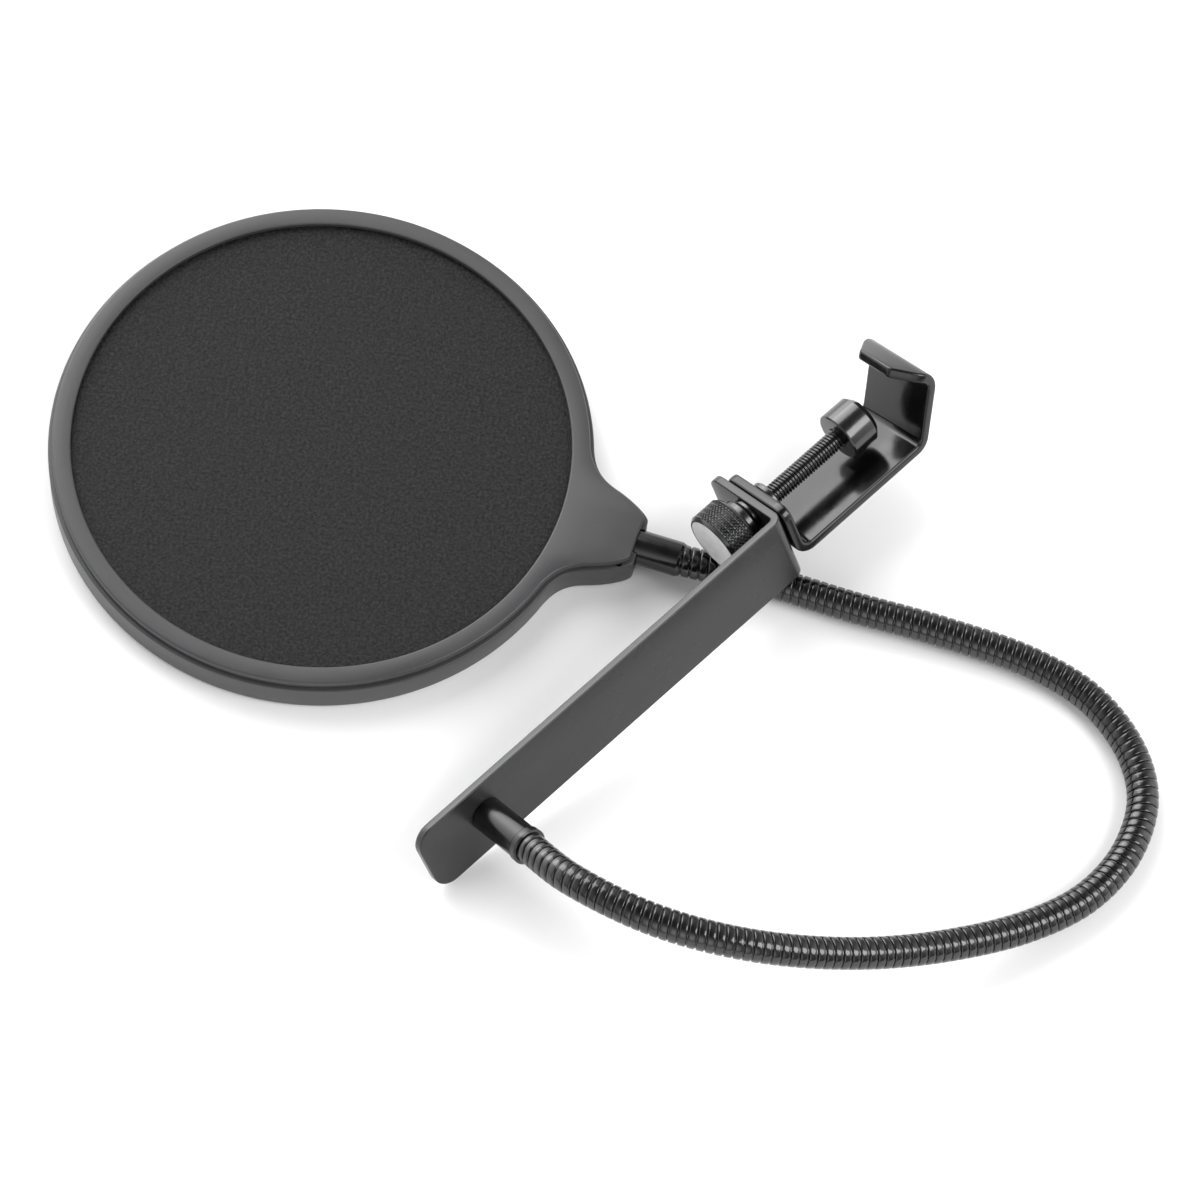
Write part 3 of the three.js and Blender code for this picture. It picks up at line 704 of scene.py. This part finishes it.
def cross_cutters(depth_from, depth_to, reach, matrix):
    """The two blades of a cross recess, in millimetres along matrix's z."""
    narrow = 0.16 * reach + 0.22
    return (slab((-reach, -narrow, depth_from), (reach, narrow, depth_to), matrix),
            slab((-narrow, -reach, depth_from), (narrow, reach, depth_to), matrix))


def neck_screw():
    """The cross-recessed screw in the rear of the neck."""
    place = neck_screw_place()
    screw = lathe("neck_screw_detail", [
        (0, 0.1, 0), (2.1, 0.1, 0.3), (2.8, 0.75, 0.2), (2.8, 1.3, 0),
        (1.45, 1.3, 0), (1.45, 10.2, 0), (0, 10.2, 0),
    ], place, ZINC, 64)
    cut(screw, *cross_cutters(-1, 0.85, 1.5, place))
    finish_piece(screw, SCREEN_BODY, "zinc_steel", "neck_screw")


def upper_ferrule():
    """The ferrule at the neck: a round tongue for the screw at one end, the hose's socket at the other."""
    tip = UPPER_FERRULE_TIP
    ferrule = lathe("upper_ferrule_detail", [
        (0, 81.5, 0), (2.9, 81.5, 0), (2.9, 88.6, 0), (4.5, 88.6, 0), (5, 89.1, 0.2), (5, 106.6, 0.25),
        (4.7, 107.2, 0.2), (4.7, tip, 0), (4.25, tip, 0.1), (4.25, 100.6, 0), (0, 100.6, 0),
    ], neck_axis(), PLATING)
    cut(ferrule, rod(1.7, -5, 5, neck_screw_place(NECK_AXIS_HEIGHT)))
    finish_piece(ferrule, SCREEN_BODY, "ferrule_metal", "upper_ferrule")


# ---- bent strips ----
def strip_path(corners, thickness, radius):
    """Stations along a bent strip: (distance, middle of its thickness, normal to the left of the path)."""
    points = [Vector(c) for c in corners]
    stations = []

    def left(d):
        return Vector((-d.y, d.x))

    def lay(point, normal):
        middle = point + normal * (thickness / 2)
        along = stations[-1][0] + (middle - stations[-1][1]).length if stations else 0.0
        if not stations or (middle - stations[-1][1]).length > 1e-6:
            stations.append((along, middle, normal))

    cursor = points[0]
    for i in range(1, len(points)):
        direction = (points[i] - points[i - 1]).normalized()
        stop = points[i]
        if i < len(points) - 1:
            onward = (points[i + 1] - points[i]).normalized()
            turn = math.atan2(direction.x * onward.y - direction.y * onward.x, direction.dot(onward))
            reach = radius * math.tan(turn / 2)
            stop = points[i] - direction * reach
        length = (stop - cursor).length
        steps = max(1, round(length / STRIP_SPACING))
        for k in range(steps + 1):
            lay(cursor + direction * length * k / steps, left(direction))
        if i < len(points) - 1:
            centre = stop + left(direction) * radius
            for step in range(1, BEND_STEPS + 1):
                spin = Matrix.Rotation(turn * step / BEND_STEPS, 2)
                normal = spin @ left(direction)
                lay(centre - normal * radius, normal)
            cursor = centre - (Matrix.Rotation(turn, 2) @ left(direction)) * radius
    return stations


def corner_narrowing(distance, radius):
    """How much a corner of that radius narrows a strip's side, at a distance from the strip's end."""
    if distance >= radius:
        return 0.0
    return radius - math.sqrt(max(0.0, radius ** 2 - (radius - distance) ** 2))


def near_end(total, radii, edge_radius):
    """Extra distances where a strip's rounded ends need stations."""
    extra = []
    for at_end, radius in enumerate(radii):
        for i in range(CORNER_STEPS):
            d = radius * (1 - math.cos(math.pi / 2 * i / CORNER_STEPS))
            extra.append(total - d if at_end else d)
        for i in range(1, EDGE_STEPS):
            d = edge_radius * (1 - math.cos(math.pi / 2 * i / EDGE_STEPS))
            extra.append(total - d if at_end else d)
    return extra


def between(stations, distance):
    """The middle and normal of a strip at a distance along it."""
    distances = [s[0] for s in stations]
    i = int(np.searchsorted(distances, distance, side="right")) - 1
    i = min(max(i, 0), len(stations) - 2)
    (a, p, n), (b, q, m) = stations[i], stations[i + 1]
    share = min(max((distance - a) / (b - a), 0.0), 1.0)
    return p.lerp(q, share), n.lerp(m, share).normalized()


def strip(name, corners, bend_radius, thickness, across, radii, edge_radius, place, material, side_cut=None):
    """A bent strip of sheet metal with rounded edges. across is its (low, high) sides, radii the corner
    radius at each end, side_cut(distance) a narrowing of both sides, and place(x, y, side) gives a point."""
    stations = strip_path(corners, thickness, bend_radius)
    total = stations[-1][0]
    distances = [s[0] for s in stations] + near_end(total, radii, edge_radius)
    distances = sorted({round(d, 8) for d in distances if 0 <= d <= total})
    loops = []
    quarter = [math.pi / 2 * k / EDGE_STEPS for k in range(EDGE_STEPS + 1)]
    for d in distances:
        middle, normal = between(stations, d)
        to_end = min(d, total - d)
        narrowing = max(corner_narrowing(d, radii[0]), corner_narrowing(total - d, radii[1]))
        if side_cut:
            narrowing = max(narrowing, side_cut(d))
        thin = corner_narrowing(to_end, edge_radius)
        half = thickness / 2 - thin
        low, high = across[0] + narrowing + thin, across[1] - narrowing - thin
        r = min(edge_radius, half * 0.98)
        section = []
        for side, sign, turn in ((high, 1, 1), (high, 1, -1), (low, -1, -1), (low, -1, 1)):
            steps = quarter if (sign * turn) > 0 else list(reversed(quarter))
            for angle in steps:
                out = turn * (half - r + r * math.cos(angle))
                section.append((out, side - sign * r + sign * r * math.sin(angle)))
        loops.append([place(*(middle + normal * out), side) for out, side in section])
    vertices, faces = loft(loops)
    return piece(name, vertices, faces, material, STRIP_SHARP_ANGLE)


def arm_strip():
    """The arm: a flat strip with a flange at the clamp end."""
    def place(x, y, side):
        return CLAMP @ Vector((x, side, y))

    corners = [(-ARM_LENGTH, 0), (0, 0), (0, ARM_FLANGE_LENGTH)]
    obj = strip("arm_strip", corners, ARM_BEND_RADIUS, ARM_THICKNESS, (0, ARM_WIDTH),
                (ARM_CORNER_RADIUS, FLANGE_CORNER_RADIUS), ARM_EDGE_RADIUS, place, ARM_PAINT)
    bush_hole = rod(BUSH_RADIUS, -4, 1.5, screw_place())
    screw_hole = rod(FERRULE_SCREW_RADIUS, -1, 4, CLAMP @ Matrix.Translation((*FERRULE_PLACE, 0)))
    cut(obj, bush_hole, screw_hole, sharp=STRIP_SHARP_ANGLE)
    finish_piece(obj, ARM_BODY, "arm_paint", "arm_bracket")


def jaw_strip():
    """The jaw: a wider strip, bent round into a V with a short tapered lip."""
    def place(x, y, side):
        return CLAMP @ Vector((x, y, side))

    lip = (Vector(JAW_CORNERS[-1]) - Vector(JAW_CORNERS[-2])).length * MM

    def taper(distance):
        from_apex = lip - JAW_BEND_RADIUS - distance
        return LIP_TAPER * min(max(from_apex / (lip - JAW_BEND_RADIUS), 0.0), 1.0)

    corners = [(x * MM, y * MM) for x, y in reversed(JAW_CORNERS)]
    obj = strip("jaw_strip", corners, JAW_BEND_RADIUS, JAW_THICKNESS, (JAW_FROM_W, JAW_FROM_W + JAW_WIDTH),
                (LIP_CORNER_RADIUS, JAW_CORNER_RADIUS), JAW_EDGE_RADIUS, place, JAW_PAINT, taper)
    cut(obj, rod(BUSH_RADIUS, -1, 5, screw_place()), sharp=STRIP_SHARP_ANGLE)
    finish_piece(obj, CLAMP_BODY, "jaw_paint", "jaw_bracket")


# ---- ferrule on the arm ----
def ferrule_place():
    """z points out from the front of the arm, from its face."""
    return CLAMP @ Matrix.Translation((*FERRULE_PLACE, 0)) @ Matrix.Rotation(math.pi, 4, "X")


def lower_ferrule():
    """The ferrule on the arm: a socket for the hose, with a collar round its mouth."""
    tip, hole = 19.3, FERRULE_SCREW_RADIUS
    ferrule = lathe("lower_ferrule_detail", [
        (0, 9, 0), (hole, 9, 0), (hole, 0.3, 0), (4.8, 0.3, 0), (5, 0.5, 0), (5, 16.7, 0.2),
        (5.4, 17.1, 0.15), (5.4, 19.0, 0.25), (4.9, tip, 0.15), (4.3, tip, 0.1), (4.3, 12.3, 0),
        (0, 12.3, 0),
    ], ferrule_place(), PLATING)
    finish_piece(ferrule, ARM_BODY, "ferrule_metal", "lower_ferrule")


def ferrule_screw():
    """The screw behind the arm that holds the lower ferrule."""
    place = ferrule_place()
    head_low = -ARM_THICKNESS / MM - 0.3 - WASHER_THICKNESS - 0.3
    screw = lathe("ferrule_screw_detail", [
        (0, head_low - 2.4, 0), (2.3, head_low - 2.3, 1.2), (3.8, head_low - 1.3, 0.6),
        (3.8, head_low, 0.15), (2, head_low, 0), (2, 8, 0), (0, 8, 0),
    ], place, ZINC, 72)
    cut(screw, *cross_cutters(head_low - 3, head_low - 1, 2.1, place))
    finish_piece(screw, ARM_BODY, "zinc_steel", "ferrule_screw")


def lock_washer():
    """A split spring washer: a nearly square section swept nearly all the way round."""
    place = ferrule_place()
    top = -ARM_THICKNESS / MM - 0.3
    loops = []
    for i in range(WASHER_STEPS + 1):
        share = i / WASHER_STEPS
        angle = WASHER_GAP / 2 + (2 * math.pi - WASHER_GAP) * share
        lift = WASHER_TWIST * (share - 0.5)
        low, high = top - 0.72 + lift, top - 0.06 + lift
        section = (2.35, low), (4.35, low), (4.35, high), (2.35, high)
        points = [Vector((r * math.cos(angle), r * math.sin(angle), z)) for r, z in section]
        loops.append([place @ (p * MM) for p in points])
    vertices, faces = loft(loops)
    washer = piece("split_washer", vertices, faces, ZINC)
    finish_piece(washer, ARM_BODY, "zinc_steel", "lock_washer")


# ---- clamp screw ----
def screw_place():
    """z runs along the clamp screw, from the plane of the arm's flange."""
    return CLAMP @ Matrix.Translation((0, SCREW_V, SCREW_W)) @ Matrix.Rotation(math.pi / 2, 4, "Y")


def threaded_bush():
    """The bush through the jaw and the arm's flange, with a collar on each side."""
    bush = lathe("bush", [
        (3.3, -4.1, 0), (5.2, -4.1, 0), (5.6, -3.7, 0.1), (5.6, -2.8, 0.1), (4.1, -2.8, 0), (4.1, 3.6, 0),
        (5.6, 3.6, 0.1), (5.6, 4.9, 0.1), (5.1, 5.4, 0.1), (3.6, 5.4, 0.1), (3.3, 5.1, 0), (3.3, -4.1, 0),
    ], screw_place(), OXIDE, 72)
    finish_piece(bush, CLAMP_BODY, "clamp_metal", "threaded_bush")


def spindle():
    """The threaded rod, with a real helical thread."""
    place = screw_place()

    def at(s, angle, r):
        return place @ Vector((r * math.cos(angle), r * math.sin(angle), THREAD_FROM + s))

    turns = round((THREAD_TO - THREAD_FROM) / THREAD_PITCH)
    rows = wound(THREAD_PROFILE, THREAD_PITCH, THREAD_RADIUS, at, turns, THREAD_SIDES)
    last = len(rows) - 1 - len(THREAD_PROFILE)
    vertices, faces = wound_faces(rows, len(THREAD_PROFILE), 0, last, caps=True)
    obj = piece("threaded_rod", vertices, faces, OXIDE, THREAD_SHARP_ANGLE)
    finish_piece(obj, SPINDLE_BODY, "clamp_metal", "clamp_spindle")


def knurl(angle, height):
    """How deep the diamond knurl goes there, in millimetres, fading out at its two rims."""
    cross = 2 * math.pi * KNOB_RADIUS / KNURLS
    low, high = KNOB_FROM, KNOB_TO
    fade = min(1.0, max(0.0, min(height - low - KNURL_MARGIN, high - KNURL_MARGIN - height) / KNURL_FADE))
    ways = []
    for lean in (1, -1):
        share = (angle * KNURLS / (2 * math.pi) + lean * height / cross) % 1.0
        ways.append(abs(2 * share - 1))
    return fade * KNURL_DEPTH * max(ways) ** KNURL_CROWN


def knob():
    """The thumb knob: a diamond knurl between smooth rims, a plain hub, and a bare-metal end whose pale
    colour is partly a painted reflection of the floor.
    """
    place = screw_place()
    low, high = KNOB_FROM, KNOB_TO
    face_top = low + KNOB_FACE_DEPTH
    first_row, last_row = low + KNURL_MARGIN, high - KNURL_MARGIN
    before = [(0.0, face_top, 0), (8.9, face_top, 0), (8.9, low, 0.05), (9.25, low, 0.1),
              (9.8, low + 0.7, 0.35), (9.85, first_row, 0)]
    after = [(9.85, last_row, 0), (9.8, high - 0.7, 0.35), (9.2, high, 0.2), (7.0, high, 0),
             (7.0, -5.0, 0.3), (6.6, -4.6, 0.2), (3.3, -4.6, 0), (3.3, -13.3, 0), (0, -13.3, 0)]
    loops = [ring(r, z, KNOB_SIDES) for r, z in rounded(before)[:-1]]
    angles = np.linspace(0, 2 * math.pi, KNOB_SIDES, endpoint=False)
    for z in np.linspace(first_row, last_row, KNURL_ROWS):
        radii = [KNOB_RADIUS - knurl(t, z) for t in angles]
        loops.append([(r * math.cos(t), r * math.sin(t), z) for r, t in zip(radii, angles)])
    loops += [ring(r, z, KNOB_SIDES) for r, z in rounded(after)[1:]]
    loops = [[place @ (Vector(p) * MM) for p in loop] for loop in loops]
    vertices, faces = loft(loops, caps=False)
    obj = piece("knurled_knob", vertices, faces, OXIDE, KNOB_SHARP_ANGLE)
    # The end disc: bare metal whose pale colour is partly a painted reflection of the floor.
    face = lathe("knob_face", [(0, low, 0), (8.8, low, 0.08), (8.8, face_top, 0), (0, face_top, 0)],
                 place, BARE_METAL_PAINTED_REFLECTION)
    finish_piece(face, SPINDLE_BODY, "zinc_steel")
    finish_piece(obj, SPINDLE_BODY, "clamp_metal", "thumb_knob")


def pad():
    """The pressure pad: a turned cup, closed round the end of the screw."""
    obj = lathe("pad_cup", [
        (3.3, 32, 0), (7.1, 32, 0.1), (7.5, 32.4, 0.2), (7.5, 40.4, 0.25), (5.9, 42, 0.25), (0, 42, 0),
        (0, 39.2, 0), (4.6, 39.2, 0), (4.6, 35, 0), (3.3, 35, 0), (3.3, 32, 0),
    ], screw_place(), PAD_PLATING)
    finish_piece(obj, PAD_BODY, "clamp_metal", "pressure_pad")


# ---- gooseneck ----
def catmull_rom(points, per_span=60):
    """A centripetal Catmull-Rom curve through the points."""
    points = np.array([tuple(p) for p in points], float)
    first = 2 * points[0] - points[1]
    last = 2 * points[-1] - points[-2]
    held = np.vstack([first, points, last])
    line = []
    for i in range(1, len(held) - 2):
        p0, p1, p2, p3 = held[i - 1:i + 3]
        d0, d1, d2 = (math.sqrt(np.linalg.norm(b - a)) for a, b in ((p0, p1), (p1, p2), (p2, p3)))
        t1 = ((p1 - p0) / d0 - (p2 - p0) / (d0 + d1) + (p2 - p1) / d1) * d1
        t2 = ((p2 - p1) / d1 - (p3 - p1) / (d1 + d2) + (p3 - p2) / d2) * d1
        square = -3 * p1 + 3 * p2 - 2 * t1 - t2
        cube = 2 * p1 - 2 * p2 + t1 + t2
        for t in np.linspace(0, 1, per_span, endpoint=False):
            line.append(p1 + t1 * t + square * t ** 2 + cube * t ** 3)
    line.append(points[-1])
    return np.array(line)


class Route:
    """The gooseneck's axis, with a frame that doesn't twist along it."""

    def __init__(self, line):
        self.line = line
        steps = np.linalg.norm(np.diff(line, axis=0), axis=1)
        self.distance = np.concatenate([[0], np.cumsum(steps)])
        self.length = self.distance[-1]
        tangents = np.gradient(line, self.distance, axis=0)
        self.tangents = tangents / np.linalg.norm(tangents, axis=1)[:, None]
        side = np.cross(self.tangents[0], (0, 0, 1))
        sides = []
        for tangent in self.tangents:
            side = side - tangent * (side @ tangent)
            side = side / np.linalg.norm(side)
            sides.append(side)
        self.sides = np.array(sides)

    def along(self, table, s):
        """A row of the table, interpolated at the distance s."""
        return np.array([np.interp(s, self.distance, table[:, k]) for k in range(3)])

    def point(self, s, angle=0.0, radius=0.0):
        """The point on the axis at the distance s, or beside it."""
        s = min(max(s, 0.0), self.length)
        centre = self.along(self.line, s)
        if radius == 0:
            return centre
        tangent = self.along(self.tangents, s)
        side = self.along(self.sides, s)
        other = np.cross(tangent, side)
        return centre + radius * (math.cos(angle) * side + math.sin(angle) * other)

    def nearest(self, point):
        """The distance along the axis of its point nearest to the given one."""
        return self.distance[np.argmin(np.linalg.norm(self.line - np.array(tuple(point)), axis=1))]


def gooseneck_route():
    """The axis from the bottom of the lower ferrule's socket to that of the upper one's."""
    shift = SCREEN.translation - SCREEN_AT
    lower = ferrule_place()
    upper = neck_axis()
    tip = CLEARANCE + FERRULE_LENGTH
    upper_tip = UPPER_FERRULE_TIP * MM
    points = [lower @ Vector((0, 0, tip - SPIGOT_LENGTH)), lower @ Vector((0, 0, tip))]
    points += [Vector(p) * MM + shift for p in HOSE_POINTS]
    points += [upper @ Vector((0, 0, upper_tip)), upper @ Vector((0, 0, upper_tip - SPIGOT_LENGTH))]
    return Route(catmull_rom(points))


def gooseneck():
    """The interlocked hose in stretches. All but the first and last have a hinge in their middle."""
    route = gooseneck_route()
    hinges = [j for j in frame["joints"] if j["name"].startswith(("lift_", "sweep_"))]
    centres = [route.nearest(j["pos_m"]) for j in hinges]
    half = (centres[1] - centres[0]) / 2
    ends = [centres[0] - half, *[(a + b) / 2 for a, b in zip(centres, centres[1:])], centres[-1] + half]
    per_turn = len(HOSE_PROFILE)
    turns = int((route.length - 2 * HOSE_START) / HOSE_PITCH)
    rows = wound(HOSE_PROFILE, HOSE_PITCH, HOSE_RADIUS,
                 lambda s, angle, r: route.point(HOSE_START + s, angle, r), turns, HOSE_SIDES)
    marks = [round((e - HOSE_START) / HOSE_PITCH) * per_turn for e in ends]
    marks = [0, *marks, len(rows) - 1 - per_turn]
    for i in range(len(marks) - 1):
        vertices, faces = wound_faces(rows, per_turn, marks[i], marks[i + 1])
        obj = piece(f"hose_stretch_{i + 1}", vertices, faces, HOSE_METAL, HOSE_SHARP_ANGLE)
        if i == 0:
            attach(obj, ARM_BODY)
        elif i == len(marks) - 2:
            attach(obj, SCREEN_BODY)
        else:
            joint, centre = hinges[i - 1], centres[i - 1]
            near = joint["parent"], tuple(route.point(centre - HOSE_BEND_REACH))
            far = joint["child"], tuple(route.point(centre + HOSE_BEND_REACH))
            # For the last stretch the ends are taken from its far end: the other way round it tears at the
            # pose all_max.
            (a, start), (b, end) = (far, near) if i == len(hinges) else (near, far)
            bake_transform(obj)
            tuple(start)
            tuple(end)
        if i <= len(hinges):
            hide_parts(f"gooseneck_{i + 1}")


# ---- pieces kept from the CAD model ----
def dress(node, material):
    """Gives a piece of the CAD model the material made here."""
    mesh = frame["nodes"][node].data
    mesh.materials.clear()
    mesh.materials.append(material)


# ---- room ----
def softbox(name, direction, distance, width, radiance, target):
    """A square light, that far from the target in that direction and turned to it."""
    light = bpy.data.lights.new(name, "AREA")
    light.shape = "SQUARE"
    light.size = width
    light.energy = radiance * math.pi * width ** 2
    obj = bpy.data.objects.new(name, light)
    bpy.context.scene.collection.objects.link(obj)
    way = Vector(direction).normalized()
    obj.location = target + way * distance
    obj.rotation_euler = way.to_track_quat("Z", "Y").to_euler()


def floor():
    """The white table, just below the part."""
    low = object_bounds()[0]
    half = FLOOR_SIZE / 2
    mesh = bpy.data.meshes.new("floor")
    z = low.z - FLOOR_GAP
    corners = [(-half, -half, z), (half, -half, z), (half, half, z), (-half, half, z)]
    mesh.from_pydata(corners, [], [(0, 1, 2, 3)])
    finish = Finish("floor_paper", 0.9, specular=0.2)
    dark, light = (grey(FLOOR_ALBEDO + sign * FLOOR_ALBEDO_SPREAD, 0) for sign in (-1, 1))
    finish.colour(finish.noise(40 * MM, 2), dark, light)
    mesh.materials.append(finish.material)
    obj = bpy.data.objects.new("floor", mesh)
    bpy.context.scene.collection.objects.link(obj)
    obj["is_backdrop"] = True


def world():
    """A studio with an even grey light and the glows listed in GLOWS."""
    made = bpy.data.worlds.new("studio")
    made.use_nodes = True
    nodes, links = made.node_tree.nodes, made.node_tree.links
    place = nodes.new("ShaderNodeTexCoord").outputs["Generated"]

    def toward(direction, power, amount):
        node = nodes.new("ShaderNodeVectorMath")
        node.operation = "DOT_PRODUCT"
        links.new(place, node.inputs[0])
        node.inputs[1].default_value = Vector(direction).normalized()
        facing = math_node(nodes, links, "MAXIMUM", node.outputs["Value"], 0.0)
        glow = math_node(nodes, links, "POWER", facing, power)
        return math_node(nodes, links, "MULTIPLY", glow, amount)

    level = GLOW_BASE
    for direction, tightness, radiance in GLOWS:
        level = math_node(nodes, links, "ADD", toward(direction, tightness, radiance), level)
    background = nodes["Background"]
    background.inputs["Color"].default_value = (1, 1, 1, 1)
    links.new(level, background.inputs["Strength"])
    bpy.context.scene.world = made


def camera():
    """The fitted camera: it looks down at CAMERA_ELEVATION and is rolled about its axis."""
    fwd = Vector((0, math.cos(CAMERA_ELEVATION), -math.sin(CAMERA_ELEVATION)))
    level = Vector((1, 0, 0))
    upright = Vector((0, math.sin(CAMERA_ELEVATION), math.cos(CAMERA_ELEVATION)))
    right = level * math.cos(CAMERA_ROLL) + upright * math.sin(CAMERA_ROLL)
    up = upright * math.cos(CAMERA_ROLL) - level * math.sin(CAMERA_ROLL)
    aim = SCREEN.translation - SCREEN_AT
    data = bpy.data.cameras.new("camera")
    data.lens = CAMERA_LENS
    data.sensor_width = CAMERA_SENSOR
    data.clip_end = CAMERA_REACH
    obj = bpy.data.objects.new("camera", data)
    bpy.context.scene.collection.objects.link(obj)
    axes = Matrix((right, up, -fwd)).transposed().to_4x4()
    obj.matrix_world = Matrix.Translation(aim - fwd * CAMERA_DISTANCE) @ axes
    bpy.context.scene.camera = obj


camera()
bpy.context.scene.view_settings.view_transform = "Standard"

rear_housing()
front_housing()
fabric("front_fabric", "front_mesh")
fabric("rear_fabric", "rear_mesh")
neck_screw()
upper_ferrule()
arm_strip()
jaw_strip()
lower_ferrule()
ferrule_screw()
lock_washer()
threaded_bush()
spindle()
knob()
pad()
gooseneck()

dress("mesh_hoop", HOOP)
dress("retaining_clip", ZINC)

floor()
world()
for name, (direction, distance, width, radiance) in SOFTBOXES.items():
    softbox(name, direction, distance, width, radiance, Vector((0, 0, 0)))
